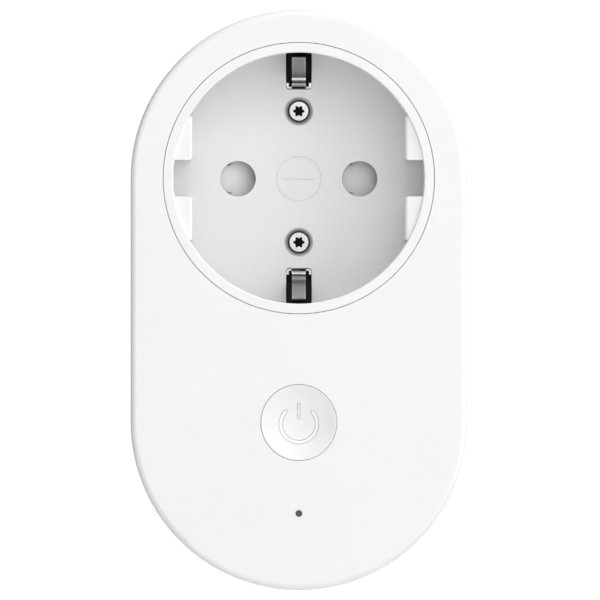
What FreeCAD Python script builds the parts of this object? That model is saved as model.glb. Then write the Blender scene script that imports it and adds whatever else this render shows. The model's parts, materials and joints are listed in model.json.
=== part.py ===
import FreeCAD, Part
import math
import os
import re
import Sketcher

# Smart plug with a socket outlet: a stadium-shaped slab that pushes into a wall socket.
#
# Frame: +Z runs up along the slab, +X to the right seen from the front, and the front faces -Y.
# The origin is the middle of the plug's engagement face, on the line between its two pins.
# Every "height" h below is the distance in front of that face, so y = -h. All sizes are millimetres.

V = FreeCAD.Vector
doc = FreeCAD.newDocument("smart_plug")

# ---------------------------------------------------------------- driving dimensions

SIZES = (
    # the slab
    ("body_radius", 26.15, "half width of the stadium outline"),
    ("arc_drop", 37.9, "distance from the socket axis down to the lower arc's centre"),
    ("front", 41.5, "height of the front face"),
    ("back", 17.0, "height of the slab's back face"),
    ("seam", 21.5, "height of the joint between the covers"),
    ("wall", 2.0, "cover wall thickness"),
    ("front_round", 0.9, "rounding of the front edge"),
    ("back_round", 3.0, "rounding of the back edge"),
    ("split_gap", 0.1, "gap where one fixed piece drops into another"),
    ("rest_gap", 0.05, "gap between fixed pieces that lie on each other"),
    ("lip_height", 2.5, "overlap of the rear cover's lip inside the front cover"),
    ("lip_thickness", 1.2, "thickness of that lip"),
    ("rear_inner", 19.0, "height of the rear cover's inner face"),
    ("label_half", 14.0, "half width of the blank label recess on the back"),
    ("label_depth", 0.25, "depth of that recess"),
    # the socket well
    ("well_radius", 19.53, "radius of the socket well"),
    ("well_depth", 17.5, "depth of the socket well"),
    ("insert_radius", 21.05, "outer radius of the socket insert"),
    ("floor_thickness", 2.2, "thickness of the well floor"),
    ("insert_foot", 19.05, "height of the insert's lower edge"),
    ("guide_chord", 16.56, "distance from the axis to the guide blocks"),
    ("guide_half_slot", 2.85, "half height of the slot between the guide blocks"),
    ("guide_step", 0.5, "distance of the guide blocks below the rim"),
    ("guide_round", 0.45, "rounding of the guide blocks' edges"),
    ("guide_end", 9.6, "distance of the guide blocks' ends above and below the axis"),
    ("rim_height", 1.2, "height of the unbroken rim above the earth slots"),
    ("pin_offset", 9.5, "distance of each pin from the axis"),
    ("pin_hole", 2.785, "radius of the socket's pin holes"),
    ("earth_half_slot", 2.02, "half width of the earth clip slots"),
    ("earth_slot_inner", 13.94, "distance from the axis to the inner end of those slots"),
    ("emblem_radius", 3.55, "outer radius of the plain ring cut into the well floor"),
    ("emblem_line", 0.16, "width of that ring's line"),
    ("emblem_depth", 0.12, "depth of that line"),
    # the plug
    ("boss_radius", 18.4, "radius of the plug body"),
    ("boss_flat", 16.2, "distance from the axis to the plug's side flats"),
    ("boss_key_half", 2.4, "half width of the guide key left on each flat"),
    ("boss_round", 0.8, "rounding of the plug face's edge"),
    ("boss_floor", 2.2, "thickness of the plug face"),
    ("cavity_radius", 13.7, "radius of the hollow in the plug"),
    ("channel_half", 3.5, "half width of the earth channels"),
    ("channel_floor", 15.3, "distance from the axis to the earth channels' floors"),
    ("pin_radius", 2.4, "radius of the plug pins"),
    ("pin_length", 19.0, "length of the plug pins"),
    ("pin_root", 2.7, "radius of the collar that fills each pin's hole in the plug face"),
    ("pin_flange", 3.5, "radius of the flange that holds each pin"),
    ("pin_flange_height", 1.2, "height of that flange"),
    ("earth_hole_offset", 10.0, "distance of the earth pin hole above the axis"),
    ("earth_hole", 2.6, "radius of the earth pin hole"),
    ("earth_hole_depth", 13.8, "depth of the earth pin hole"),
    ("earth_tube", 4.0, "outer radius of the tube round the earth pin hole"),
    ("earth_tube_top", 15.0, "height of that tube's closed end"),
    # the fixings
    ("upper_screw", 10.57, "distance of the upper socket screw above the axis"),
    ("lower_screw", 9.92, "distance of the lower socket screw below the axis"),
    ("post_radius", 2.6, "radius of the socket screw posts"),
    ("post_top", 21.75, "height of the posts' tops"),
    ("pilot_radius", 1.0, "radius of the screw holes in the posts"),
    ("pilot_depth", 6.5, "depth of the socket screws' holes"),
    ("board_pilot_depth", 7.0, "depth of the board screws' holes"),
    ("screw_head", 1.57, "radius of the socket screws' heads"),
    ("screw_shank", 0.95, "radius of their shanks"),
    ("screw_seat", 22.3, "height of the face the screw heads press on"),
    ("screw_top", 23.0, "height of the screw heads' tops"),
    ("star_depth", 0.6, "depth of the six-lobed recess in a screw head"),
    ("star_core", 0.66, "radius of the recess between its lobes"),
    ("star_pitch", 0.68, "distance of the lobes' centres from the screw's axis"),
    ("star_lobe", 0.22, "radius of the lobes"),
    ("board_screw_head", 1.9, "radius of the board screws' heads"),
    ("board_screw_rise", 1.2, "height of those heads"),
    ("board_screw_length", 7.5, "length of the board screws under the head"),
    ("cross_reach", 1.1, "half length of the cross recess in those heads"),
    ("cross_half", 0.22, "half width of that recess"),
    ("cross_depth", 0.7, "depth of that recess"),
    ("countersink", 2.28, "radius of the countersink at the well floor"),
    ("counterbore", 1.7, "radius of the hole round the screw head"),
    ("countersink_depth", 0.9, "depth of the countersink"),
    # the button and the light
    ("button_drop", 38.0, "distance of the power button below the axis"),
    ("button_radius", 5.91, "radius of the power button"),
    ("button_gap", 0.06, "gap round the button"),
    ("button_foot", 1.3, "height of the button's lower edge behind the cover's inner face"),
    ("button_skin", 1.9, "thickness of the button's face"),
    ("button_hollow", 4.9, "radius of the hollow behind that face"),
    ("button_stem", 1.2, "radius of the stem that presses the switch"),
    ("button_neck", 0.65, "radius of the neck between stem and face"),
    ("guide_disc", 4.7, "radius of the light guide's disc inside the button"),
    ("button_flange", 6.6, "radius of the flange that keeps the button in"),
    ("dish_radius", 21.4, "radius of the sphere that dishes the button"),
    ("dish_depth", 0.8, "depth of the dish at its centre"),
    ("symbol_outer", 3.07, "outer radius of the power symbol's ring"),
    ("symbol_inner", 2.58, "inner radius of the power symbol's ring"),
    ("symbol_half_line", 0.16, "half width of the power symbol's bar"),
    ("bar_low", 0.66, "height of the bar's lower end above the button's centre"),
    ("bar_high", 2.95, "height of the bar's upper end above the button's centre"),
    ("symbol_drop", 0.23, "distance of the ring's centre below the button's"),
    ("symbol_gap", 0.06, "gap between the symbol and the button"),
    ("light_drop", 52.14, "distance of the indicator light below the axis"),
    ("light_radius", 0.51, "radius of the indicator light guide"),
    # the shutter
    ("shutter_travel", 5.5, "travel of the shutter"),
    ("shutter_top", 22.55, "height of the shutter's upper face"),
    ("shutter_recess", 1.0, "depth of the recess under the well floor in which the shutter slides"),
    ("arm_top", 21.5, "height of the upper face of the shutter's arm"),
    ("shutter_base", 19.3, "height of the shutter's lower face"),
    ("shutter_half", 4.6, "half width of the shutter"),
    ("aperture", 2.6, "radius of the shutter's apertures"),
    ("pad_half", 3.1, "half length of the ramp under each pin hole"),
    ("ramp_fall", 2.0, "fall of each ramp"),
    ("notch_depth", 1.2, "depth of the relief notches beside each ramp"),
    ("spring_outer", 14.4, "distance of the spring's moving end from the axis"),
    ("spring_inner", 3.4, "distance of the spring's fixed end from the axis"),
    ("spring_side", 5.6, "distance of the spring above the axis"),
    ("spring_radius", 0.62, "mean radius of the spring's turns"),
    ("spring_wire", 0.13, "radius of the spring's wire"),
    # the contacts
    ("carrier_radius", 13.3, "radius of the contact carrier"),
    ("carrier_base", 16.2, "height of the carrier's lower face"),
    ("leg_radius", 1.1, "radius of the carrier's legs"),
    ("carrier_top", 18.6, "height of the carrier's upper face"),
    ("sleeve_outer", 3.0, "outer radius of the socket contacts"),
    ("sleeve_inner", 2.42, "inner radius of the socket contacts"),
    ("sleeve_base", 7.0, "height of the contacts' lower ends"),
    ("sleeve_top", 18.4, "height of the contacts' upper ends"),
    ("strap", 0.8, "thickness of the copper straps"),
    ("supply_near", 5.6, "distance of the supply straps' inner edges from the middle"),
    ("supply_far", 8.6, "distance of their outer edges"),
    ("load_near", 9.4, "distance of the load straps' inner edges from the middle"),
    ("load_far", 11.8, "distance of their outer edges"),
    ("strap_end", 26.8, "distance of all straps' ends below the axis"),
    ("supply_turn", 9.5, "distance below the axis at which the supply straps rise"),
    ("load_turn", 6.0, "distance below the axis at which the load straps rise"),
    ("earth_strip", 0.8, "thickness of the plug's earth strips"),
    ("strap_run", 19.3, "height of the straps over the rear cover"),
    ("bridge_height", 15.2, "height of the earth bridge's middle run"),
    ("bridge_half", 2.0, "half width of the earth bridge"),
    ("bridge_turn", 6.4, "distance from the axis at which the earth bridge rises"),
    ("plate_half", 4.0, "half width of the plates at its ends"),
    ("bridge_strip", 0.7, "thickness of the earth bridge"),
    ("leaf", 0.5, "thickness of the earth clips"),
    ("leaf_inset", 0.18, "gap between a slot's inner end and the clip's root"),
    ("pocket_wall", 0.5, "wall thickness of the black pockets' floors"),
    ("leaf_half", 1.07, "half width of the earth clips"),
    # the electronics
    ("board_base", 30.9, "height of the circuit board's lower face"),
    ("board_top", 32.5, "height of the circuit board's upper face"),
    ("board_edge", 22.3, "radius of the circuit board's outline"),
    ("board_limit", 23.6, "distance of the board's straight edge below the axis"),
    ("switch_top", 35.8, "height of the tact switch's body"),
    ("plunger_top", 36.6, "height of the tact switch's plunger"),
)

sheet = doc.addObject("Spreadsheet::Sheet", "Sizes")
for row, (alias, number, meaning) in enumerate(SIZES, start=1):
    sheet.set(f"A{row}", meaning)
    sheet.set(f"B{row}", str(number))
    sheet.setAlias(f"B{row}", alias)
doc.recompute()
ALIASES = {alias for alias, number, meaning in SIZES}


def bound(text):
    """An expression in which every alias names its cell of the sheet."""
    return re.sub(r"[a-z][a-z_]*", lambda word: qualified(word.group()), str(text))


def qualified(word):
    return "Sizes." + word if word in ALIASES else word


def value(text):
    """The number an expression of aliases has now."""
    return float(sheet.evalExpression(bound(text)))


# ---------------------------------------------------------------- solids from primitives

TO_FRONT = FreeCAD.Rotation(V(1, 0, 0), 90)


def place(item, x, h, z):
    item.setExpression("Placement.Base.x", bound(x))
    item.setExpression("Placement.Base.y", bound(f"-({h})"))
    item.setExpression("Placement.Base.z", bound(z))
    return item


def block(x, h, z):
    """A box between pairs of limits: across, in height above the plug face, and along the slab."""
    item = doc.addObject("Part::Box", "block")
    item.setExpression("Length", bound(f"({x[1]}) - ({x[0]})"))
    item.setExpression("Width", bound(f"({h[1]}) - ({h[0]})"))
    item.setExpression("Height", bound(f"({z[1]}) - ({z[0]})"))
    return place(item, x[0], h[1], z[0])


def rod(x, z, radius, h):
    """A cylinder square to the front face, between two heights."""
    item = doc.addObject("Part::Cylinder", "rod")
    item.Placement.Rotation = TO_FRONT
    item.setExpression("Radius", bound(radius))
    item.setExpression("Height", bound(f"({h[1]}) - ({h[0]})"))
    return place(item, x, h[0], z)


def cone(x, z, radii, h):
    item = doc.addObject("Part::Cone", "cone")
    item.Placement.Rotation = TO_FRONT
    item.setExpression("Radius1", bound(radii[0]))
    item.setExpression("Radius2", bound(radii[1]))
    item.setExpression("Height", bound(f"({h[1]}) - ({h[0]})"))
    return place(item, x, h[0], z)


def ball(x, h, z, radius):
    item = doc.addObject("Part::Sphere", "ball")
    item.setExpression("Radius", bound(radius))
    return place(item, x, h, z)


def bar(x, h, z, radius):
    """A cylinder lying across the slab, between two x limits."""
    item = doc.addObject("Part::Cylinder", "bar")
    item.Placement.Rotation = FreeCAD.Rotation(V(0, 1, 0), 90)
    item.setExpression("Radius", bound(radius))
    item.setExpression("Height", bound(f"({x[1]}) - ({x[0]})"))
    return place(item, x[0], h, z)


def fuse(*items):
    item = doc.addObject("Part::MultiFuse", "fuse")
    item.Shapes = list(items)
    item.Refine = True
    return item


def cut(base, *tools):
    item = doc.addObject("Part::Cut", "cut")
    item.Base = base
    item.Tool = tools[0] if len(tools) == 1 else fuse(*tools)
    item.Refine = True
    return item


def common(base, tool):
    item = doc.addObject("Part::Common", "common")
    item.Base = base
    item.Tool = tool
    return item


def group(*items):
    """Separate solids that share one sub-part, such as a set of screws."""
    item = doc.addObject("Part::Compound", "group")
    item.Links = list(items)
    return item


def rounded(base, radius, chosen):
    """The solid with the chosen edges rounded."""
    doc.recompute()
    size = value(radius)
    edges = [n for n, edge in enumerate(base.Shape.Edges, start=1) if chosen(edge)]
    item = doc.addObject("Part::Fillet", "rounded")
    item.Base = base
    item.Edges = [(n, size, size) for n in edges]
    return item


def height_of(edge):
    """The height of an edge that lies in one plane parallel to the front face, or None."""
    box = edge.BoundBox
    return -box.YMax if box.YLength < 1e-4 else None


def at_height(edge, text):
    height = height_of(edge)
    return height is not None and abs(height - value(text)) < 1e-3


# ---------------------------------------------------------------- solids from sketches

def new_body(node):
    return doc.addObject("PartDesign::Body", node)


def sketch_at(body, height="0", plane="XZ_Plane"):
    """A sketch parallel to the front face at a height, or on another origin plane."""
    sketch = body.newObject("Sketcher::SketchObject", "sketch")
    origin = [item for item in body.Origin.OriginFeatures if item.Role == plane][0]
    sketch.AttachmentSupport = [(origin, "")]
    sketch.MapMode = "FlatFace"
    if plane == "XZ_Plane":
        sketch.setExpression("AttachmentOffset.Base.z", bound(height))
    return sketch


def constrain(sketch, kind, where, text):
    """Adds a sized constraint and binds its size to the sheet."""
    index = sketch.addConstraint(Sketcher.Constraint(kind, *where, value(text)))
    name = f"{kind.lower()}_{index}"
    sketch.renameConstraint(index, name)
    sketch.setExpression("Constraints." + name, bound(text))


def fix_point(sketch, item, point, x, z):
    """Fixes one point of a sketch item at x, z from the origin."""
    for kind, text, axis in (("DistanceX", x, -2), ("DistanceY", z, -1)):
        if abs(value(text)) < 1e-9:
            sketch.addConstraint(Sketcher.Constraint("PointOnObject", item, point, axis))
        else:
            constrain(sketch, kind, (-1, 1, item, point), text)


def add_circle(sketch, x, z, radius):
    circle = Part.Circle(V(value(x), value(z), 0), V(0, 0, 1), value(radius))
    item = sketch.addGeometry(circle)
    fix_point(sketch, item, 3, x, z)
    constrain(sketch, "Radius", (item,), radius)


def add_outline(sketch, corners):
    """A closed outline of straight edges through the corners, each a pair of expressions."""
    points = [V(value(x), value(z), 0) for x, z in corners]
    count = len(points)
    lines = []
    for n in range(count):
        segment = Part.LineSegment(points[n], points[(n + 1) % count])
        lines.append(sketch.addGeometry(segment))
    for n in range(count):
        after = lines[(n + 1) % count]
        sketch.addConstraint(Sketcher.Constraint("Coincident", lines[n], 2, after, 1))
    for line, (x, z) in zip(lines, corners):
        fix_point(sketch, line, 1, x, z)


def add_rectangle(sketch, x, z):
    add_outline(sketch, [(x[0], z[0]), (x[1], z[0]), (x[1], z[1]), (x[0], z[1])])


def add_stadium(sketch, radius):
    """The slab's outline: an arc round the socket axis, one round the lower centre, two sides."""
    r = value(radius)
    low = value("-arc_drop")
    up = V(0, 0, 1)
    top = sketch.addGeometry(Part.ArcOfCircle(Part.Circle(V(0, 0, 0), up, r), 0, math.pi))
    left = sketch.addGeometry(Part.LineSegment(V(-r, 0, 0), V(-r, low, 0)))
    lower = Part.Circle(V(0, low, 0), up, r)
    bottom = sketch.addGeometry(Part.ArcOfCircle(lower, math.pi, 2 * math.pi))
    right = sketch.addGeometry(Part.LineSegment(V(r, low, 0), V(r, 0, 0)))
    ring = (top, left, bottom, right)
    for n, item in enumerate(ring):
        sketch.addConstraint(Sketcher.Constraint("Coincident", item, 2, ring[(n + 1) % 4], 1))
    for arc in (top, bottom):
        for end in (1, 2):
            sketch.addConstraint(Sketcher.Constraint("Horizontal", arc, 3, arc, end))
        constrain(sketch, "Radius", (arc,), radius)
    fix_point(sketch, top, 3, "0", "0")
    fix_point(sketch, bottom, 3, "0", "-arc_drop")


def pad(body, sketch, length, midplane=False):
    item = body.newObject("PartDesign::Pad", "pad")
    item.Profile = sketch
    item.Midplane = midplane
    item.setExpression("Length", bound(length))
    return item


def pocket(body, sketch, depth, to_front=False):
    """Cuts from the sketch towards the wall side, or towards the front."""
    item = body.newObject("PartDesign::Pocket", "pocket")
    item.Profile = sketch
    item.Reversed = to_front
    item.setExpression("Length", bound(depth))
    return item


def fillet(body, radius, chosen):
    doc.recompute()
    base = body.Tip
    names = [f"Edge{n}" for n, edge in enumerate(base.Shape.Edges, start=1) if chosen(edge)]
    item = body.newObject("PartDesign::Fillet", "fillet")
    item.Base = (base, names)
    item.setExpression("Radius", bound(radius))
    return item


# ---------------------------------------------------------------- list of sub-parts

NODES = []


def keep(item, node):
    """Names a finished solid as a sub-part."""
    item.Label = node
    NODES.append(item)


BOTH = (1, -1)


def signed(sign, text):
    return f"{sign} * ({text})"


def limits(sign, near, far):
    """A pair of limits from near to far on one side of the axis, in rising order."""
    pair = (signed(sign, near), signed(sign, far))
    return pair if sign > 0 else pair[::-1]


# ---------------------------------------------------------------- housing

SNAPS = ("-8", "-30")
SNAP_HALF = "2.8"
BOARD_POSTS = (("-17", "-27"), ("17", "-27"), ("0", "-arc_drop - 19.5"))


def make_front_cover():
    body = new_body("front_cover")
    outline = sketch_at(body, "seam")
    add_stadium(outline, "body_radius")
    pad(body, outline, "front - seam")
    fillet(body, "front_round", lambda edge: at_height(edge, "front"))

    inside = sketch_at(body, "seam")
    add_stadium(inside, "body_radius - wall")
    pocket(body, inside, "front - wall - seam", to_front=True)

    # a guide collar behind the button and a tube behind the indicator light
    collars = sketch_at(body, "front - wall - 3.5")
    add_circle(collars, "0", "-button_drop", "button_flange + 0.4")
    add_circle(collars, "0", "-button_drop", "button_flange + 1.4")
    pad(body, collars, "3.5 + wall / 2")
    tube = sketch_at(body, "front - wall - 2.5")
    add_circle(tube, "0", "-light_drop", "light_radius + 1.1")
    pad(body, tube, "2.5 + wall / 2")

    openings = sketch_at(body, "front")
    add_circle(openings, "0", "0", "insert_radius + split_gap")
    add_circle(openings, "0", "-button_drop", "button_radius + button_gap")
    add_circle(openings, "0", "-light_drop", "light_radius + 0.03")
    pocket(body, openings, "wall + 4")

    # pockets that the rear cover's snap beads click into
    snaps = sketch_at(body, "seam + 0.9")
    for sign in BOTH:
        for z in SNAPS:
            across = limits(sign, "body_radius - wall - 0.3", "body_radius - wall + 0.6")
            add_rectangle(snaps, across, (f"{z} - {SNAP_HALF} - 0.1", f"{z} + {SNAP_HALF} + 0.1"))
    pocket(body, snaps, "1", to_front=True)
    keep(body, "front_cover")


def make_rear_cover():
    body = new_body("rear_cover")
    outline = sketch_at(body, "back")
    add_stadium(outline, "body_radius")
    pad(body, outline, "seam - back")
    fillet(body, "back_round", lambda edge: at_height(edge, "back"))

    boss = sketch_at(body, "0")
    add_circle(boss, "0", "0", "boss_radius")
    pad(body, boss, "back + 1")
    flats = sketch_at(body, "0")
    for side in BOTH:
        for part in BOTH:
            across = limits(side, "boss_flat", "boss_radius + 1")
            add_rectangle(flats, across, limits(part, "boss_key_half", "boss_radius - 5"))
    pocket(body, flats, "back", to_front=True)
    channels = sketch_at(body, "0")
    for side in BOTH:
        add_rectangle(channels, ("-channel_half", "channel_half"),
                      limits(side, "channel_floor", "boss_radius + 1"))
    pocket(body, channels, "back", to_front=True)
    fillet(body, "boss_round", lambda edge: at_height(edge, "0"))

    cavity = sketch_at(body, "seam")
    add_circle(cavity, "0", "0", "cavity_radius")
    pocket(body, cavity, "seam - boss_floor")
    inside = sketch_at(body, "seam")
    add_stadium(inside, "body_radius - wall - split_gap - lip_thickness")
    pocket(body, inside, "seam - rear_inner")
    lip = sketch_at(body, "seam")
    add_stadium(lip, "body_radius - wall - split_gap")
    add_stadium(lip, "body_radius - wall - split_gap - lip_thickness")
    pad(body, lip, "lip_height")
    beads = sketch_at(body, "seam + 1")
    for side in BOTH:
        for z in SNAPS:
            across = limits(side, "body_radius - wall - split_gap - 0.5", "body_radius - wall + 0.4")
            add_rectangle(beads, across, (f"{z} - {SNAP_HALF}", f"{z} + {SNAP_HALF}"))
    pad(body, beads, "0.7")

    # posts for the socket screws and the circuit board, and the tube of the earth pin hole
    tube = sketch_at(body, "boss_floor - 0.5")
    add_circle(tube, "0", "earth_hole_offset", "earth_tube")
    pad(body, tube, "earth_tube_top - boss_floor + 0.5")
    for height, z in (("earth_tube_top - 1", "upper_screw"), ("boss_floor - 0.5", "-lower_screw")):
        post = sketch_at(body, height)
        add_circle(post, "0", z, "post_radius")
        pad(body, post, f"post_top - ({height})")
    board_posts = sketch_at(body, "rear_inner - 0.5")
    for x, z in BOARD_POSTS:
        add_circle(board_posts, x, z, "post_radius")
    pad(body, board_posts, "board_base - rear_inner + 0.5")

    pilots = sketch_at(body, "post_top")
    add_circle(pilots, "0", "upper_screw", "pilot_radius")
    add_circle(pilots, "0", "-lower_screw", "pilot_radius")
    pocket(body, pilots, "pilot_depth")
    board_pilots = sketch_at(body, "board_base")
    for x, z in BOARD_POSTS:
        add_circle(board_pilots, x, z, "pilot_radius")
    pocket(body, board_pilots, "board_pilot_depth")

    holes = sketch_at(body, "0")
    for side in BOTH:
        add_circle(holes, signed(side, "pin_offset"), "0", "pin_root + 0.03")
    pocket(body, holes, "boss_floor + 0.5", to_front=True)
    earth_hole = sketch_at(body, "0")
    add_circle(earth_hole, "0", "earth_hole_offset", "earth_hole")
    pocket(body, earth_hole, "earth_hole_depth", to_front=True)
    # slots where the earth strips come through the back of the slab
    slots = sketch_at(body, "back - 0.5")
    for side in BOTH:
        add_rectangle(slots, ("-2.4", "2.4"), limits(side, "channel_floor", "channel_floor + 0.95"))
    pocket(body, slots, "rear_inner - back + 1", to_front=True)
    label = sketch_at(body, "back")
    add_rectangle(label, ("-label_half", "label_half"), ("-arc_drop - 11", "-arc_drop + 7"))
    pocket(body, label, "label_depth", to_front=True)
    keep(body, "rear_cover")


FLOOR_TOP = "front - well_depth"
FLOOR_BASE = "front - well_depth - floor_thickness"


def insert_blank():
    """The insert's cup: a round well less the four guide blocks."""
    full = rod("0", "0", "insert_radius", ("insert_foot", "front"))
    depth = (FLOOR_TOP, "front")
    chord = block(("-guide_chord", "guide_chord"), depth, ("-20", "20"))
    middle = common(rod("0", "0", "well_radius", depth), chord)
    lane = block(("-20", "20"), depth, ("-guide_half_slot", "guide_half_slot"))
    slot = common(rod("0", "0", "well_radius", depth), lane)
    tall = rod("0", "0", "well_radius", depth)
    ends = common(tall, fuse(*[block(("-20", "20"), depth, limits(side, "guide_end", "20")) for side in BOTH]))
    mouth = rod("0", "0", "well_radius", ("front - guide_step", "front"))
    under = rod("0", "0", "well_radius", ("insert_foot", FLOOR_BASE))
    recess_span = (f"{FLOOR_BASE} - 0.1", f"{FLOOR_BASE} + shutter_recess")
    lane = block(("-20", "20"), recess_span, ("-shutter_half - 0.25", "shutter_half + 0.25"))
    recess = common(rod("0", "0", "well_radius", recess_span), lane)
    return cut(full, middle, slot, ends, mouth, under, recess)


def on_guide(edge):
    """True for the edges of the guide blocks' inner faces, apart from those on the floor."""
    box = edge.BoundBox
    on_chord = abs(abs(box.XMax) - value("guide_chord")) < 1e-3 and box.XLength < 1e-3
    beside_slot = abs(abs(box.ZMax) - value("guide_half_slot")) < 1e-3 and box.ZLength < 1e-3
    return on_chord and (beside_slot or at_height(edge, "front - guide_step"))


def on_mouth(edge):
    is_round = hasattr(edge.Curve, "Radius") and abs(edge.Curve.Radius - value("well_radius")) < 1e-3
    return is_round and at_height(edge, "front")


def make_socket_insert():
    shaped = rounded(insert_blank(), "guide_round", on_guide)
    shaped = rounded(shaped, "0.2", on_mouth)
    tools = []
    for side in BOTH:
        tools.append(rod(signed(side, "pin_offset"), "0", "pin_hole", (FLOOR_BASE, FLOOR_TOP)))
        reach = limits(side, "earth_slot_inner", "insert_radius + 1")
        slot = block(("-earth_half_slot", "earth_half_slot"), ("insert_foot", "front - rim_height"), reach)
        tools.append(rounded(slot, "0.5", at_inner_end))
        # ways out for the copper straps under the skirt
        straps = limits(side, "5.2", "12.2")
        tools.append(block(straps, ("insert_foot", "strap_run + strap + 0.3"), ("-22", "-12")))
    for z in ("upper_screw", "-lower_screw"):
        tools.append(rod("0", z, "screw_shank + 0.2", (FLOOR_BASE, "screw_seat")))
        tools.append(rod("0", z, "counterbore", ("screw_seat", FLOOR_TOP)))
        sink = (f"{FLOOR_TOP} - countersink_depth", FLOOR_TOP)
        tools.append(cone("0", z, ("counterbore", "countersink"), sink))
    engraved = (f"{FLOOR_TOP} - emblem_depth", FLOOR_TOP)
    inside = rod("0", "0", "emblem_radius - emblem_line", engraved)
    tools.append(cut(rod("0", "0", "emblem_radius", engraved), inside))
    tools.append(block(("1 - emblem_radius", "emblem_radius - 1"), engraved, ("-emblem_line", "0")))
    keep(cut(shaped, *tools), "socket_insert")


def at_inner_end(edge):
    """True for the upright edges at the inner end of an earth slot."""
    box = edge.BoundBox
    upright = box.XLength < 1e-3 and box.ZLength < 1e-3
    return upright and abs(abs(box.ZMax) - value("earth_slot_inner")) < 1e-3


def star(z, top):
    """A six-lobed driver recess."""
    span = (f"{top} - star_depth", top)
    lobes = [rod("0", z, "star_core", span)]
    for n in range(6):
        angle = math.radians(60 * n)
        x_lobe = f"star_pitch * {math.cos(angle):.4f}"
        z_lobe = f"{z} + star_pitch * {math.sin(angle):.4f}"
        lobes.append(rod(x_lobe, z_lobe, "star_lobe", span))
    return fuse(*lobes)


def make_socket_screws():
    screws = []
    for z in ("upper_screw", "-lower_screw"):
        head = rounded(rod("0", z, "screw_head", ("screw_seat", "screw_top")), "0.15",
                       lambda edge: at_height(edge, "screw_top") and hasattr(edge.Curve, "Radius"))
        shank = rod("0", z, "screw_shank", ("screw_seat - 7", "screw_seat"))
        screws.append(cut(fuse(head, shank), star(z, "screw_top")))
    keep(group(*screws), "socket_screws")


def make_board_screws():
    screws = []
    for x, z in BOARD_POSTS:
        head = rod(x, z, "board_screw_head", ("board_top", "board_top + board_screw_rise"))
        shank = rod(x, z, "screw_shank", ("board_top - board_screw_length", "board_top"))
        recess = ("board_top + board_screw_rise - cross_depth", "board_top + board_screw_rise")
        across = block((f"{x} - cross_reach", f"{x} + cross_reach"), recess,
                       (f"{z} - cross_half", f"{z} + cross_half"))
        along = block((f"{x} - cross_half", f"{x} + cross_half"), recess,
                      (f"{z} - cross_reach", f"{z} + cross_reach"))
        screws.append(cut(fuse(head, shank), across, along))
    keep(group(*screws), "board_screws")


# ---------------------------------------------------------------- button and lights

SYMBOL_OPENING = 48.0
CAP_BASE = "front - wall - button_foot"
CAP_ROOF = "front - button_skin"


def dish():
    return ball("0", "front - dish_depth + dish_radius", "-button_drop", "dish_radius")


def symbol(gap, span):
    """The power symbol as a prism: an open ring and a bar, each grown by the gap."""
    z = "-button_drop - symbol_drop"
    start = 90 + SYMBOL_OPENING
    outer = rod("0", z, f"symbol_outer + {gap}", span)
    outer.Placement.Rotation = TO_FRONT * FreeCAD.Rotation(V(0, 0, 1), start)
    outer.Angle = 360 - 2 * SYMBOL_OPENING
    ring = cut(outer, rod("0", z, f"symbol_inner - {gap}", span))
    line = block((f"-symbol_half_line - {gap}", f"symbol_half_line + {gap}"), span,
                 (f"-button_drop + bar_low - {gap}", f"-button_drop + bar_high + {gap}"))
    ends = []
    for angle in (start, 90 - SYMBOL_OPENING):
        turn = math.radians(angle)
        middle = "(symbol_outer + symbol_inner) / 2"
        ends.append(rod(f"{middle} * {math.cos(turn):.5f}", f"{z} + {middle} * {math.sin(turn):.5f}",
                        f"(symbol_outer - symbol_inner) / 2 + {gap}", span))
    return fuse(ring, line, *ends)


def make_power_button():
    cap = rounded(rod("0", "-button_drop", "button_radius", (CAP_BASE, "front")), "0.12",
                  lambda edge: at_height(edge, "front") and hasattr(edge.Curve, "Radius"))
    flange = rod("0", "-button_drop", "button_flange", (CAP_BASE, "front - wall - 0.08"))
    hollow = rod("0", "-button_drop", "button_hollow", (CAP_BASE, CAP_ROOF))
    stem = rod("0", "-button_drop", "button_stem", ("plunger_top + 0.08", f"{CAP_ROOF} - 0.15"))
    neck = rod("0", "-button_drop", "button_neck", (f"{CAP_ROOF} - 0.2", f"{CAP_ROOF} + 0.3"))
    marks = symbol("symbol_gap", (f"{CAP_ROOF} - 0.2", "front"))
    keep(fuse(cut(fuse(cap, flange), hollow, dish(), marks), stem, neck), "power_button")


def make_button_light_guide():
    span = (f"{CAP_BASE} + 0.2", f"{CAP_ROOF} - 0.1")
    disc = cut(rod("0", "-button_drop", "guide_disc", span),
               rod("0", "-button_drop", "button_stem + 0.15", span))
    marks = symbol("0", (f"{CAP_ROOF} - 0.1", "front"))
    bar_root = block(("-symbol_half_line", "symbol_half_line"), (f"{CAP_ROOF} - 0.3", f"{CAP_ROOF} - 0.1"),
                     ("-button_drop + button_stem + 0.2", "-button_drop + bar_high"))
    keep(cut(fuse(disc, marks, bar_root), dish()), "button_light_guide")


def make_indicator_light_guide():
    guide = rod("0", "-light_drop", "light_radius", ("board_top + 1.1", "front - 0.2"))
    collar = rod("0", "-light_drop", "1.3", ("front - wall - 3.5", "front - wall - 2.6"))
    keep(fuse(guide, collar), "indicator_light_guide")


# ---------------------------------------------------------------- shutter

APERTURES = ("shutter_travel - pin_offset", "shutter_travel + pin_offset")
HOLES = ("-pin_offset", "pin_offset")


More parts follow.
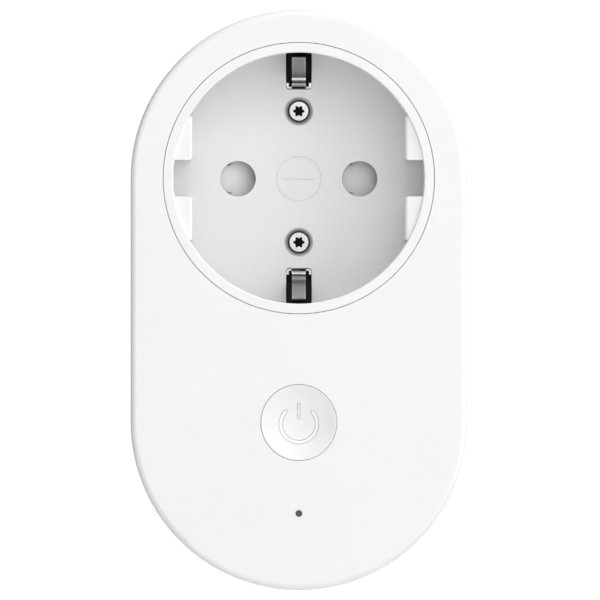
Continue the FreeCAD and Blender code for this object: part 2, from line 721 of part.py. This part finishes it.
def make_shutter():
    body = new_body("shutter")
    plate = sketch_at(body, "shutter_base")
    across = ("-pin_offset - pad_half - 0.6", "pin_offset + shutter_travel + aperture + 0.8")
    add_rectangle(plate, across, ("-shutter_half", "shutter_half"))
    pad(body, plate, "shutter_top - shutter_base")
    arm = sketch_at(body, "shutter_base")
    add_rectangle(arm, ("spring_outer + 0.1", "spring_outer + 0.8"), ("shutter_half - 1", "spring_side + 0.8"))
    pad(body, arm, "arm_top - shutter_base")

    holes = sketch_at(body, "shutter_top")
    for x in APERTURES:
        add_circle(holes, x, "0", "aperture")
    pocket(body, holes, "shutter_top - shutter_base")
    ramps = sketch_at(body, plane="XY_Plane")
    for x in HOLES:
        add_outline(ramps, [(f"{x} - pad_half", "-shutter_top"), (f"{x} + pad_half", "-shutter_top"),
                            (f"{x} + pad_half", "-shutter_top + ramp_fall")])
    cutter = pocket(body, ramps, "2 * pad_half")
    cutter.Midplane = True
    notches = sketch_at(body, "shutter_top")
    for x in HOLES:
        for side in BOTH:
            add_rectangle(notches, (f"{x} - 1.9", f"{x} - 1.1"), limits(side, "2.1", "2.5"))
    pocket(body, notches, "notch_depth")
    keep(body, "shutter")


def make_shutter_spring():
    """A coil along X between the shutter's arm and the carrier's post."""
    length = value("spring_outer - spring_inner - 2 * spring_wire") - 0.1
    coil = Part.makeHelix(length / 8, length, value("spring_radius"))
    start = V(value("spring_radius"), 0, 0)
    section = Part.Wire([Part.makeCircle(value("spring_wire"), start, V(0, 1, 0))])
    item = doc.addObject("Part::Feature", "spring")
    item.Shape = Part.Wire(coil.Edges).makePipeShell([section], True, True)
    middle = value("(arm_top + shutter_base) / 2")
    base = V(value("spring_inner + spring_wire") + 0.05, -middle, value("spring_side"))
    item.Placement = FreeCAD.Placement(base, FreeCAD.Rotation(V(0, 1, 0), 90))
    keep(item, "shutter_spring")


# ---------------------------------------------------------------- contacts

CARRIER_LEGS = (("7", "8"), ("-7", "8"), ("3.9", "-7.5"), ("-3.9", "-7.5"))


def make_contact_carrier():
    span = ("carrier_base", "carrier_top")
    plate = rod("0", "0", "carrier_radius", span)
    legs = []
    for x, z in CARRIER_LEGS:
        legs.append(rod(x, z, "leg_radius", ("boss_floor", "carrier_base + 0.5")))
    stop = block(("spring_inner - 0.8", "spring_inner - 0.1"), ("carrier_top - 0.5", "arm_top - 0.1"),
                 ("spring_side - 0.7", "spring_side + 0.8"))
    tools = []
    for side in BOTH:
        tools.append(rod(signed(side, "pin_offset"), "0", "sleeve_outer + rest_gap", span))
        tools.append(block(("-2.3", "2.3"), span, limits(side, "5.4", "6.7")))
        tools.append(block(limits(side, "5.3", "8.9"), span, ("-9.9", "-8.3")))
        tools.append(block(limits(side, "9.1", "12.1"), span, ("-6.4", "-4.8")))
    for z in ("upper_screw", "-lower_screw"):
        tools.append(rod("0", z, "post_radius + 0.15", span))
    keep(fuse(cut(plate, *tools), stop, *legs), "contact_carrier")


def split_sleeve(x, z, outer, inner, span):
    """A spring sleeve with one slit along its upper side."""
    slit = block((f"{x} - 0.4", f"{x} + 0.4"), span, (z, f"{z} + {outer} + 1"))
    return cut(rod(x, z, outer, span), rod(x, z, inner, span), slit)


def make_socket_contacts():
    for side, node in ((1, "live_socket_contact"), (-1, "neutral_socket_contact")):
        x = signed(side, "pin_offset")
        keep(split_sleeve(x, "0", "sleeve_outer", "sleeve_inner", ("sleeve_base", "sleeve_top")), node)
    tube = ("0.6", "earth_hole_depth - 0.3")
    keep(split_sleeve("0", "earth_hole_offset", "earth_hole - 0.04", "pin_radius + 0.03", tube),
         "earth_pin_receptacle")


def make_plug_pins():
    for side, node in ((1, "live_plug_pin"), (-1, "neutral_plug_pin")):
        x = signed(side, "pin_offset")
        shaft = rounded(rod(x, "0", "pin_radius", ("-pin_length", "boss_floor")), "pin_radius * 0.7",
                        lambda edge: at_height(edge, "-pin_length") and hasattr(edge.Curve, "Radius"))
        root = rod(x, "0", "pin_root", ("0", "boss_floor + 0.2"))
        flange = rod(x, "0", "pin_flange", ("boss_floor", "boss_floor + pin_flange_height"))
        keep(fuse(shaft, root, flange), node)


def make_straps():
    """Copper straps from the plug pins to the board, and from the board to the socket contacts."""
    run = ("strap_run", "strap_run + strap")
    rise = ("strap_run", "board_base - rest_gap")
    end = ("-strap_end", "strap - strap_end")
    for side, name in ((1, "live"), (-1, "neutral")):
        x = limits(side, "supply_near", "supply_far")
        low = "boss_floor + pin_flange_height"
        foot = (low, f"{low} + strap")
        supply = [block(limits(side, "supply_near", "pin_offset + 2.9"), foot, ("-2.5", "2.5")),
                  block(x, foot, ("-supply_turn", "-2.5")),
                  block(x, (low, "strap_run + strap"), ("-supply_turn", "strap - supply_turn")),
                  block(x, run, ("-strap_end", "strap - supply_turn")),
                  block(x, rise, end)]
        keep(fuse(*supply), f"{name}_supply_strap")
        x = limits(side, "load_near", "load_far")
        low = "sleeve_base + 2"
        foot = (low, f"{low} + strap")
        load = [block(x, foot, ("-load_turn", "-sleeve_outer - 0.02")),
                block(x, (low, "strap_run + strap"), ("-load_turn", "strap - load_turn")),
                block(x, run, ("-strap_end", "strap - load_turn")),
                block(x, rise, end)]
        keep(fuse(*load), f"{name}_load_strap")


PLATE = ("insert_foot + rest_gap", "insert_foot + rest_gap + bridge_strip")


def ear(side, hand):
    """An L-shaped ear in a corner of an earth slot, rounded like the slot's corner."""
    rise = ("insert_foot + rest_gap", f"{FLOOR_TOP} - 0.4")
    outer = "earth_half_slot - 0.07"
    near = "earth_slot_inner + leaf_inset"
    wall = block(limits(hand, "earth_half_slot - 0.4", outer), rise, limits(side, near, "earth_slot_inner + 1"))
    foot = block(limits(hand, "leaf_half + 0.15", outer), rise, limits(side, near, "earth_slot_inner + 0.4"))
    shape = fuse(wall, foot)

    def corner(edge):
        box = edge.BoundBox
        upright = box.XLength < 1e-3 and box.ZLength < 1e-3
        return (upright and abs(abs(box.XMax) - value(outer)) < 1e-3
                and abs(abs(box.ZMax) - value(near)) < 1e-3)

    return rounded(shape, "0.45", corner)


def make_earth_bridge():
    """One stamped strip under the well floor that joins both earth clips."""
    width = ("-bridge_half", "bridge_half")
    middle = ("bridge_height", "bridge_height + bridge_strip")
    pieces = [block(width, middle, ("-bridge_turn", "bridge_turn"))]
    for side, screw in ((1, "upper_screw"), (-1, "lower_screw")):
        riser = limits(side, "bridge_turn - bridge_strip", "bridge_turn")
        pieces.append(block(width, ("bridge_height", PLATE[1]), riser))
        neck = block(width, PLATE, limits(side, "bridge_turn - bridge_strip", "8"))
        plate = block(("-plate_half", "plate_half"), PLATE, limits(side, "7.4", "15.2"))
        eye = rod("0", signed(side, screw), "post_radius + 0.15", PLATE)
        pieces.append(cut(fuse(neck, plate), eye))
        for hand in BOTH:
            pieces.append(ear(side, hand))
    keep(fuse(*pieces), "earth_bridge")


# The clip's side profile, as distances beyond the slot's inner end and above the well floor:
# a root below the floor, a step at the floor, and a long leaf that leans out to a bent tip.
CLIP_FACE = (("leaf_inset", "-1.5"), ("0.42", "-1.15"), ("0.93", "-1.0"), ("1.28", "0.5"),
             ("1.5", "0.95"), ("1.78", "1.1"), ("4.66", "14.2"), ("4.95", "14.8"))
CLIP_BACK = (("5.37", "14.5"), ("5.13", "14.0"), ("2.2", "0.7"), ("1.8", "0.4"),
             ("1.33", "-1.5"), ("leaf_inset + leaf", "-1.62"))


def make_earth_clips():
    for side, node in ((1, "earth_clip_upper"), (-1, "earth_clip_lower")):
        root = f"{PLATE[1]} + 0.1 + leaf / 2"
        corners = [("leaf_inset", f"{root} - ({FLOOR_TOP})")]
        corners += CLIP_FACE
        corners += CLIP_BACK
        corners += [("leaf_inset + leaf", f"{root} - ({FLOOR_TOP})")]
        body = new_body(f"{node}_leaf")
        profile = sketch_at(body, plane="YZ_Plane")
        add_outline(profile, [(f"-({FLOOR_TOP} + {rise})", signed(side, f"earth_slot_inner + {reach}"))
                              for reach, rise in corners])
        pad(body, profile, "2 * leaf_half", midplane=True)
        middle = signed(side, "earth_slot_inner + leaf_inset + leaf / 2")
        keep(fuse(body, bar(("-leaf_half", "leaf_half"), root, middle, "leaf / 2")), node)


def make_plug_earth_contacts():
    for side, node in ((1, "plug_earth_contact_upper"), (-1, "plug_earth_contact_lower")):
        strip = block(("-2.3", "2.3"), ("0.3", "rear_inner + 0.75"),
                      limits(side, "channel_floor + rest_gap", "channel_floor + rest_gap + earth_strip"))
        keep(rounded(strip, "0.6", on_lead_in), node)


def on_lead_in(edge):
    """True for the outer edge of an earth strip's free end."""
    box = edge.BoundBox
    outer = value("channel_floor + rest_gap + earth_strip")
    return at_height(edge, "0.3") and abs(abs(box.ZMax) - outer) < 1e-3 and box.ZLength < 1e-3


POCKET_FLOOR = (f"{PLATE[1]} + rest_gap", f"{PLATE[1]} + rest_gap + pocket_wall")


def make_clip_pocket_covers():
    """Black pockets that close the earth slots off from the live parts behind them."""
    covers = []
    for side in BOTH:
        depth = ("insert_foot + rest_gap", "front - wall - 0.3")
        shell = block(("-3", "3"), depth, limits(side, "20.2", "22.3"))
        ring = rod("0", "0", "insert_radius + split_gap", ("insert_foot", "front - wall"))
        hollow = block(("-2.1", "2.1"), (POCKET_FLOOR[1], "front - wall - 0.8"), limits(side, "20", "21.9"))
        floor = block(("0.07 - earth_half_slot", "earth_half_slot - 0.07"), POCKET_FLOOR,
                      limits(side, "earth_slot_inner + 0.06", "21.4"))
        # ways through for the clip's root and the two ears
        ways = [block(("-leaf_half - 0.08", "leaf_half + 0.08"), POCKET_FLOOR,
                      limits(side, "earth_slot_inner", "earth_slot_inner + 0.85"))]
        for hand in BOTH:
            ways.append(block(limits(hand, "leaf_half", "earth_half_slot"), POCKET_FLOOR,
                              limits(side, "earth_slot_inner", "earth_slot_inner + 0.48")))
            ways.append(block(limits(hand, "earth_half_slot - 0.48", "earth_half_slot"), POCKET_FLOOR,
                              limits(side, "earth_slot_inner", "earth_slot_inner + 1.08")))
        covers.append(fuse(cut(shell, ring, hollow), cut(floor, *ways)))
    keep(group(*covers), "clip_pocket_covers")


# ---------------------------------------------------------------- electronics

def make_circuit_board():
    span = ("board_base", "board_top")
    disc = common(rod("0", "-arc_drop", "board_edge", span),
                  block(("-30", "30"), span, ("-70", "-board_limit")))
    upper = block(("-board_edge", "board_edge"), span, ("-arc_drop", "-board_limit"))
    tools = []
    for x, z in BOARD_POSTS:
        tools.append(rod(x, z, "screw_shank + 0.15", span))
    keep(cut(fuse(disc, upper), *tools), "main_circuit_board")


def make_tact_switch():
    middle = "-button_drop"
    case = block(("-3", "3"), ("board_top", "switch_top"), (f"{middle} - 3", f"{middle} + 3"))
    well = rod("0", middle, "1.8", ("switch_top - 0.8", "switch_top"))
    keep(cut(case, well), "tact_switch_body")
    keep(rod("0", middle, "1.7", ("switch_top - 0.25", "plunger_top")), "tact_switch_plunger")


def make_status_leds():
    spots = (("-4.6", "-button_drop"), ("4.6", "-button_drop"), ("0", "-light_drop"))
    leds = []
    for x, z in spots:
        leds.append(block((f"{x} - 0.4", f"{x} + 0.4"), ("board_top", "board_top + 0.7"),
                          (f"{z} - 0.8", f"{z} + 0.8")))
    keep(group(*leds), "status_leds")


# Boxed components: name, x limits, depth from the board, z limits. Depths below zero hang
# behind the board, and the others stand in front of it.
BOXES = (
    ("relay", ("-3", "17.5"), -10.3, ("-48", "-32.5")),
    ("power_transformer", ("-19.5", "-8.5"), -9.5, ("-48.5", "-37.5")),
    ("film_capacitor", ("-6.5", "6.5"), -9.0, ("-54.4", "-49.6")),
    ("bridge_rectifier", ("10", "14.7"), 2.4, ("-33", "-29")),
    ("metering_chip", ("10", "15"), 1.5, ("-44", "-39")),
    ("radio_module_board", ("-20.5", "-8.5"), 0.8, ("-50", "-34")),
)


def make_boxed_components():
    for node, x, depth, z in BOXES:
        front_side = ("board_top", f"board_top + {depth}")
        span = front_side if depth > 0 else (f"board_base - {-depth}", "board_base")
        shape = block(x, span, z)
        edge_radius = "0.4" if depth < 0 else "0.15"
        keep(rounded(shape, edge_radius, upright), node)
    can = block(("-19.5", "-9.5"), ("board_top + 0.8", "board_top + 2.8"), ("-46", "-35"))
    keep(rounded(can, "0.4", upright), "radio_shield_can")


def upright(edge):
    box = edge.BoundBox
    return box.XLength < 1e-3 and box.ZLength < 1e-3


def make_round_components():
    capacitors = []
    for x, z in (("11", "-52.2"), ("-12.6", "-52.4")):
        can = rod(x, z, "3.15", ("board_base - 10", "board_base"))
        groove = cut(rod(x, z, "3.6", ("board_base - 1.8", "board_base - 1.3")),
                     rod(x, z, "2.95", ("board_base - 1.8", "board_base - 1.3")))
        capacitors.append(cut(can, groove))
    keep(group(*capacitors), "electrolytic_capacitors")
    tube = bar(("-3.2", "3.2"), "board_base - 1.9", "-29.6", "1.6")
    caps = [bar(("-4.4", "-3.2"), "board_base - 1.9", "-29.6", "1.75"),
            bar(("3.2", "4.4"), "board_base - 1.9", "-29.6", "1.75")]
    keep(fuse(tube, *caps), "input_fuse")
    disc = bar(("-17.4", "-14.2"), "board_base - 4.2", "-33.6", "3.4")
    keep(disc, "varistor")


# ---------------------------------------------------------------- build, check, write

make_front_cover()
make_rear_cover()
make_socket_insert()
make_socket_screws()
make_board_screws()
make_power_button()
make_button_light_guide()
make_indicator_light_guide()
make_shutter()
make_shutter_spring()
make_contact_carrier()
make_socket_contacts()
make_plug_pins()
make_straps()
make_earth_bridge()
make_earth_clips()
make_plug_earth_contacts()
make_clip_pocket_covers()
make_circuit_board()
make_tact_switch()
make_status_leds()
make_boxed_components()
make_round_components()
doc.recompute()

for item in doc.Objects:
    if "Invalid" in item.State or "Error" in item.State:
        raise RuntimeError(f"{item.Name} ({item.Label}) failed: {item.State}")
for item in NODES:
    if item.Shape.isNull() or not item.Shape.isValid():
        raise RuntimeError(f"{item.Label} has no valid shape")

os.makedirs("parts", exist_ok=True)
for item in NODES:
    item.Shape.exportStep(f"parts/{item.Label}.step")
    print(f"{item.Label}: {len(item.Shape.Solids)} solid(s), {item.Shape.Volume:.1f} mm3")
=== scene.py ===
import bpy
import json
import math
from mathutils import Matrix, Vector


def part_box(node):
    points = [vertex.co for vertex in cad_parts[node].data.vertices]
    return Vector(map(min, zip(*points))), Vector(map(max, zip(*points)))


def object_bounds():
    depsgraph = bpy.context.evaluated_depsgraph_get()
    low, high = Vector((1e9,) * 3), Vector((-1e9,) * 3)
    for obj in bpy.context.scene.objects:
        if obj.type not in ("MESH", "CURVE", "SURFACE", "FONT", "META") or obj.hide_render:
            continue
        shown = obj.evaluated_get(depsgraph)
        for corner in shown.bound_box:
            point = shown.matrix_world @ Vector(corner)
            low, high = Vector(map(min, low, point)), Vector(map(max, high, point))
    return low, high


# The looks, light and camera of the smart plug. The object comes from the frame as it is: the socket
# axis is the frame's Y axis, the front faces -Y and +Z runs up along the slab. Lengths are in metres.

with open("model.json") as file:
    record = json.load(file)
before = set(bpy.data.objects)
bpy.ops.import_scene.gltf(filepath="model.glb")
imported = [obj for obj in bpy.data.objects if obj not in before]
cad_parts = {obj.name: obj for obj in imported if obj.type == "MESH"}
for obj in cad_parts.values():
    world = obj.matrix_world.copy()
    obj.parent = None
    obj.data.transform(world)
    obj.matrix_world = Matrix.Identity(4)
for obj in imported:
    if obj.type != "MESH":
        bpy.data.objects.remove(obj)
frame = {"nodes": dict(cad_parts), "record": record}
cad_low, cad_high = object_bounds()
nodes = frame["nodes"]

MM = 0.001
CENTRE = (cad_low + cad_high) / 2

# sizes of the soft unevenness in the materials
FLOW_MARKS = 14 * MM
METAL_CLOUDS = 3 * MM
INNER_CLOUDS = 1.5 * MM
SCATTER_DEPTH = 0.4 * MM


# ---------------------------------------------------------------- material helpers

def new_material(name):
    """An empty node material with its principled shader and output."""
    material = bpy.data.materials.new(name)
    material.use_nodes = True
    tree = material.node_tree
    tree.nodes.clear()
    output = tree.nodes.new("ShaderNodeOutputMaterial")
    shader = tree.nodes.new("ShaderNodeBsdfPrincipled")
    tree.links.new(shader.outputs["BSDF"], output.inputs["Surface"])
    return material, tree, shader


def coordinates(tree, scale):
    """Object coordinates, stretched by a scale per axis in cycles per metre."""
    source = tree.nodes.new("ShaderNodeTexCoord")
    mapping = tree.nodes.new("ShaderNodeMapping")
    mapping.inputs["Scale"].default_value = scale
    tree.links.new(source.outputs["Object"], mapping.inputs["Vector"])
    return mapping.outputs["Vector"]


def even(tree, size):
    """Object coordinates for a noise of one size along all axes."""
    return coordinates(tree, (1 / size,) * 3)


def noise(tree, vector, detail=3.0, rough=0.5):
    node = tree.nodes.new("ShaderNodeTexNoise")
    node.inputs["Scale"].default_value = 1.0
    node.inputs["Detail"].default_value = detail
    node.inputs["Roughness"].default_value = rough
    tree.links.new(vector, node.inputs["Vector"])
    return node.outputs["Fac"]


def remap(tree, value, low, high):
    """Stretches a noise value, which lies around 0.5, to a range."""
    node = tree.nodes.new("ShaderNodeMapRange")
    node.inputs["From Min"].default_value = 0.3
    node.inputs["From Max"].default_value = 0.7
    node.inputs["To Min"].default_value = low
    node.inputs["To Max"].default_value = high
    tree.links.new(value, node.inputs["Value"])
    return node.outputs["Result"]


def mix_colours(tree, factor, first, second):
    node = tree.nodes.new("ShaderNodeMix")
    node.data_type = "RGBA"
    node.inputs["A"].default_value = (*first, 1)
    node.inputs["B"].default_value = (*second, 1)
    tree.links.new(factor, node.inputs["Factor"])
    return node.outputs["Result"]


def bump(tree, shader, height, strength, distance):
    node = tree.nodes.new("ShaderNodeBump")
    node.inputs["Strength"].default_value = strength
    node.inputs["Distance"].default_value = distance
    tree.links.new(height, node.inputs["Height"])
    tree.links.new(node.outputs["Normal"], shader.inputs["Normal"])


def shade(colour, factor):
    return tuple(channel * factor for channel in colour)


def moulded_plastic(name, colour, roughness, grain=0.12, depth=0.02, variation=0.02):
    """Injection-moulded plastic: a fine spark grain, faint flow marks and uneven sheen.

    The grain's size and depth are in millimetres.
    """
    material, tree, shader = new_material(name)
    fine = noise(tree, even(tree, grain * MM), detail=2.0)
    broad = noise(tree, even(tree, FLOW_MARKS), detail=4.0)
    tone = mix_colours(tree, remap(tree, broad, 0, 1), colour, shade(colour, 1 - variation))
    tree.links.new(tone, shader.inputs["Base Color"])
    tree.links.new(remap(tree, fine, roughness - 0.05, roughness + 0.05), shader.inputs["Roughness"])
    bump(tree, shader, fine, 0.35, depth * MM)
    return material


def plated_metal(name, colour, roughness, stretch, depth=0.004, variation=0.12):
    """Metal with fine drawn or ground lines: the noise is stretched by its own scale on each axis."""
    material, tree, shader = new_material(name)
    lines = noise(tree, coordinates(tree, stretch), rough=0.6)
    clouds = noise(tree, even(tree, METAL_CLOUDS))
    tone = mix_colours(tree, remap(tree, clouds, 0, 1), colour, shade(colour, 1 - variation))
    tree.links.new(tone, shader.inputs["Base Color"])
    tree.links.new(remap(tree, lines, roughness - 0.06, roughness + 0.08), shader.inputs["Roughness"])
    shader.inputs["Metallic"].default_value = 1.0
    bump(tree, shader, lines, 0.3, depth * MM)
    return material


def along(tree, axis, near, far, first, last):
    """A value that goes from first to last as the distance along an axis goes from near to far."""
    source = tree.nodes.new("ShaderNodeTexCoord")
    split = tree.nodes.new("ShaderNodeSeparateXYZ")
    tree.links.new(source.outputs["Object"], split.inputs[0])
    size = tree.nodes.new("ShaderNodeMath")
    size.operation = "ABSOLUTE"
    tree.links.new(split.outputs[axis], size.inputs[0])
    node = tree.nodes.new("ShaderNodeMapRange")
    node.inputs["From Min"].default_value = near
    node.inputs["From Max"].default_value = far
    node.inputs["To Min"].default_value = first
    node.inputs["To Max"].default_value = last
    tree.links.new(size.outputs[0], node.inputs["Value"])
    return node.outputs["Result"]


def tint(material, factor):
    """Scales a material's colour by a value of its node tree."""
    tree = material.node_tree
    shader = next(node for node in tree.nodes if node.type == "BSDF_PRINCIPLED")
    scale = tree.nodes.new("ShaderNodeVectorMath")
    scale.operation = "SCALE"
    tree.links.new(shader.inputs["Base Color"].links[0].from_socket, scale.inputs[0])
    tree.links.new(factor, scale.inputs["Scale"])
    tree.links.new(scale.outputs["Vector"], shader.inputs["Base Color"])


def milky_plastic(name, colour, roughness):
    """Translucent light-guide plastic with a soft inner cloud."""
    material, tree, shader = new_material(name)
    clouds = noise(tree, even(tree, INNER_CLOUDS), detail=2.0)
    tone = mix_colours(tree, remap(tree, clouds, 0, 1), colour, shade(colour, 0.97))
    tree.links.new(tone, shader.inputs["Base Color"])
    tree.links.new(remap(tree, clouds, roughness - 0.03, roughness + 0.03), shader.inputs["Roughness"])
    shader.inputs["Subsurface Weight"].default_value = 0.25
    shader.inputs["Subsurface Radius"].default_value = (1.0, 1.0, 1.0)
    shader.inputs["Subsurface Scale"].default_value = SCATTER_DEPTH
    bump(tree, shader, clouds, 0.05, 0.01 * MM)
    return material


# cycles per metre across and along the lines of drawn metal
FINE = 1 / (0.05 * MM)
LONG = 1 / (4 * MM)

MATERIALS = {
    "cover_white": moulded_plastic("cover_white", (0.86, 0.86, 0.855), 0.42),
    "insert_white": moulded_plastic("insert_white", (0.86, 0.86, 0.855), 0.38, grain=0.1),
    "button_white": moulded_plastic("button_white", (0.84, 0.84, 0.84), 0.33, grain=0.1, depth=0.012),
    "light_guide_white": milky_plastic("light_guide_white", (0.97, 0.97, 0.97), 0.3),
    "indicator_smoke": moulded_plastic("indicator_smoke", (0.07, 0.07, 0.075), 0.25, depth=0.003),
    "shutter_white": moulded_plastic("shutter_white", (0.88, 0.88, 0.875), 0.45),
    "black_plastic": moulded_plastic("black_plastic", (0.012, 0.012, 0.012), 0.6, variation=0.2),
    "switch_plunger_plastic": moulded_plastic("switch_plunger_plastic", (0.03, 0.03, 0.03), 0.4),
    "nickel_plate": plated_metal("nickel_plate", (0.68, 0.675, 0.66), 0.26, (FINE, LONG, FINE)),
    "contact_brass": plated_metal("contact_brass", (0.75, 0.56, 0.26), 0.3, (FINE, LONG, FINE)),
    "strap_copper": plated_metal("strap_copper", (0.75, 0.40, 0.26), 0.3, (FINE, LONG, LONG)),
    "screw_steel": plated_metal("screw_steel", (0.66, 0.66, 0.65), 0.3, (FINE, FINE, FINE)),
    "spring_steel": plated_metal("spring_steel", (0.6, 0.6, 0.6), 0.25, (LONG, FINE, FINE)),
    "shield_steel": plated_metal("shield_steel", (0.66, 0.66, 0.65), 0.35, (LONG, FINE, FINE)),
    "board_green": moulded_plastic("board_green", (0.02, 0.16, 0.07), 0.35, grain=0.4, variation=0.15),
    "led_lens": milky_plastic("led_lens", (0.85, 0.82, 0.6), 0.15),
    "transformer_yellow": moulded_plastic("transformer_yellow", (0.7, 0.55, 0.1), 0.4),
    "film_capacitor_yellow": moulded_plastic("film_capacitor_yellow", (0.75, 0.58, 0.08), 0.3),
    "capacitor_sleeve": moulded_plastic("capacitor_sleeve", (0.02, 0.02, 0.04), 0.25),
    "fuse_glass_beige": moulded_plastic("fuse_glass_beige", (0.6, 0.52, 0.38), 0.35),
    "varistor_blue": moulded_plastic("varistor_blue", (0.04, 0.12, 0.4), 0.4, grain=0.3),
}

# painted shade: the plastic's colour is darkened where it goes down behind the well floor, as in the
# pin holes
FLOOR_OVER_SHUTTER = 1.45 * MM
HOLE_SHADE_DEPTH = 0.9 * MM
HOLE_SHADE_SCALE = 0.1
well_floor = -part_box("shutter")[0].y + FLOOR_OVER_SHUTTER
insert_tree = MATERIALS["insert_white"].node_tree
painted_hole_shade = along(insert_tree, "Y", well_floor - HOLE_SHADE_DEPTH, well_floor, HOLE_SHADE_SCALE, 1.0)
# painted shade, deepest 0.9 mm below the well floor
tint(MATERIALS["insert_white"], painted_hole_shade)

# painted shade: the drivers' recesses in the screw heads are darkened nearly to black below the heads'
# top
RECESS_SHADE_START = 0.08 * MM
RECESS_SHADE_DEPTH = 0.14 * MM
RECESS_PAINTED_SHADE = 0.01
head_top = -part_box("socket_screws")[0].y
screw_tree = MATERIALS["screw_steel"].node_tree
recess_low = head_top - RECESS_SHADE_DEPTH
recess_high = head_top - RECESS_SHADE_START
# painted shade in the screw recesses
tint(MATERIALS["screw_steel"], along(screw_tree, "Y", recess_low, recess_high, RECESS_PAINTED_SHADE, 1.0))

# The earth clips are dull nickel with painted light on them: a painted highlight on their sides, a
# painted shadow over the tip, and a painted highlight band across the bend, which the last entry
# brings back to the plain tone. Each change of tone has its axis, its distance from the clip's far end
# on that axis, and the scale that holds beyond it.
CLIP_PAINTED_LIGHT = (
    ("X", 0.28 * MM, 1.25),
    ("Z", 0.6 * MM, 0.1),
    ("Z", 4.55 * MM, 2.1),
    ("Z", 3.6 * MM, 0.48),
)
BLEND = 0.1 * MM
MATERIALS["clip_nickel"] = plated_metal("clip_nickel", (0.44, 0.43, 0.42), 0.3, (FINE, LONG, FINE))
clip_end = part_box("earth_clip_upper")[1]
clip_tree = MATERIALS["clip_nickel"].node_tree
# painted highlights and painted shadow on the clips, one change of tone at a time
for axis, inset, scale in CLIP_PAINTED_LIGHT:
    start = getattr(clip_end, axis.lower()) - inset
    tint(MATERIALS["clip_nickel"], along(clip_tree, axis, start, start + BLEND, 1.0, scale))

for part in frame["record"]["subparts"]:
    cad_object = nodes[part["node"]]
    for slot in cad_object.material_slots:
        slot.material = MATERIALS[part["material_slot"]]
for node in ("earth_clip_upper", "earth_clip_lower"):
    for slot in nodes[node].material_slots:
        slot.material = MATERIALS["clip_nickel"]


# ---------------------------------------------------------------- stage, light and camera

FLOOR_DROP = 0.16
FLOOR_HALF = 2.9


def mesh_object(name, verts, faces):
    mesh = bpy.data.meshes.new(name)
    mesh.from_pydata(verts, [], faces)
    item = bpy.data.objects.new(name, mesh)
    bpy.context.scene.collection.objects.link(item)
    return item


def build_stage():
    """A pale floor below the object."""
    z = cad_low.z - FLOOR_DROP
    half = FLOOR_HALF
    corners = [(-half, -half, z), (half, -half, z), (half, half, z), (-half, half, z)]
    floor = mesh_object("floor", corners, [(0, 1, 2, 3)])
    material, tree, shader = new_material("floor_pale")
    clouds = noise(tree, coordinates(tree, (3, 3, 3)), detail=2.0)
    tone = mix_colours(tree, remap(tree, clouds, 0, 1), (0.9, 0.9, 0.9), (0.88, 0.88, 0.88))
    tree.links.new(tone, shader.inputs["Base Color"])
    shader.inputs["Roughness"].default_value = 0.8
    floor.data.materials.append(material)


def aim(item, target):
    item.rotation_euler = (target - item.location).to_track_quat("-Z", "Y").to_euler()


# Softboxes round the object: name, degrees to the right, degrees up, watts.
SOFTBOXES = (
    ("key_softbox", 75, 50, 7.3),
    ("front_softbox", 10, 20, 2.6),
    ("right_softbox", 45, 20, 1.8),
    ("left_top_softbox", -60, 50, 1.3),
    ("low_front_softbox", 10, -10, 1.0),
    ("left_softbox", -25, 20, 0.9),
    ("low_right_softbox", 45, -10, 0.9),
    ("back_right_softbox", 140, 30, 1.0),
    ("back_left_softbox", -150, 35, 0.7),
)
SOFTBOX_SIZE = 0.55
SOFTBOX_DISTANCE = 1.0
# strength of the world's light, and of the white that the camera sees behind the object
AMBIENT = 0.135
BACKDROP = 1.05


def build_lights():
    world = bpy.data.worlds.new("studio")
    bpy.context.scene.world = world
    world.use_nodes = True
    tree = world.node_tree
    tree.nodes.clear()
    mix = tree.nodes.new("ShaderNodeMixShader")
    path = tree.nodes.new("ShaderNodeLightPath")
    tree.links.new(path.outputs["Is Camera Ray"], mix.inputs[0])
    for place, strength in ((1, AMBIENT), (2, BACKDROP)):
        sky = tree.nodes.new("ShaderNodeBackground")
        sky.inputs["Strength"].default_value = strength
        sky.inputs["Color"].default_value = (1, 1, 1, 1)
        tree.links.new(sky.outputs[0], mix.inputs[place])
    output = tree.nodes.new("ShaderNodeOutputWorld")
    tree.links.new(mix.outputs[0], output.inputs["Surface"])
    target = Vector((CENTRE.x, cad_low.y, 0))
    for name, right, up, watts in SOFTBOXES:
        light = bpy.data.lights.new(name, "AREA")
        light.shape = "SQUARE"
        light.size = SOFTBOX_SIZE
        light.energy = watts
        item = bpy.data.objects.new(name, light)
        bpy.context.scene.collection.objects.link(item)
        a = math.radians(right)
        e = math.radians(up)
        towards = Vector((math.sin(a) * math.cos(e), -math.cos(a) * math.cos(e), math.sin(e)))
        item.location = target + towards * SOFTBOX_DISTANCE
        aim(item, target)


CAMERA_DISTANCE = 3.2
CAMERA_ASIDE = 0.18 * MM
CAMERA_MARGIN = 1.034


def build_camera():
    """A long lens square on to the front face, framed a little wider than the object is tall."""
    camera = bpy.data.cameras.new("camera")
    camera.sensor_width = 36
    width = (cad_high.z - cad_low.z) * CAMERA_MARGIN
    camera.lens = camera.sensor_width * CAMERA_DISTANCE / width
    camera.clip_end = 10
    item = bpy.data.objects.new("camera", camera)
    bpy.context.scene.collection.objects.link(item)
    item.location = (CENTRE.x + CAMERA_ASIDE, cad_low.y - CAMERA_DISTANCE, CENTRE.z)
    item.rotation_euler = (math.pi / 2, 0, 0)
    bpy.context.scene.camera = item


build_stage()
build_lights()
build_camera()
bpy.context.scene.view_settings.view_transform = "Standard"
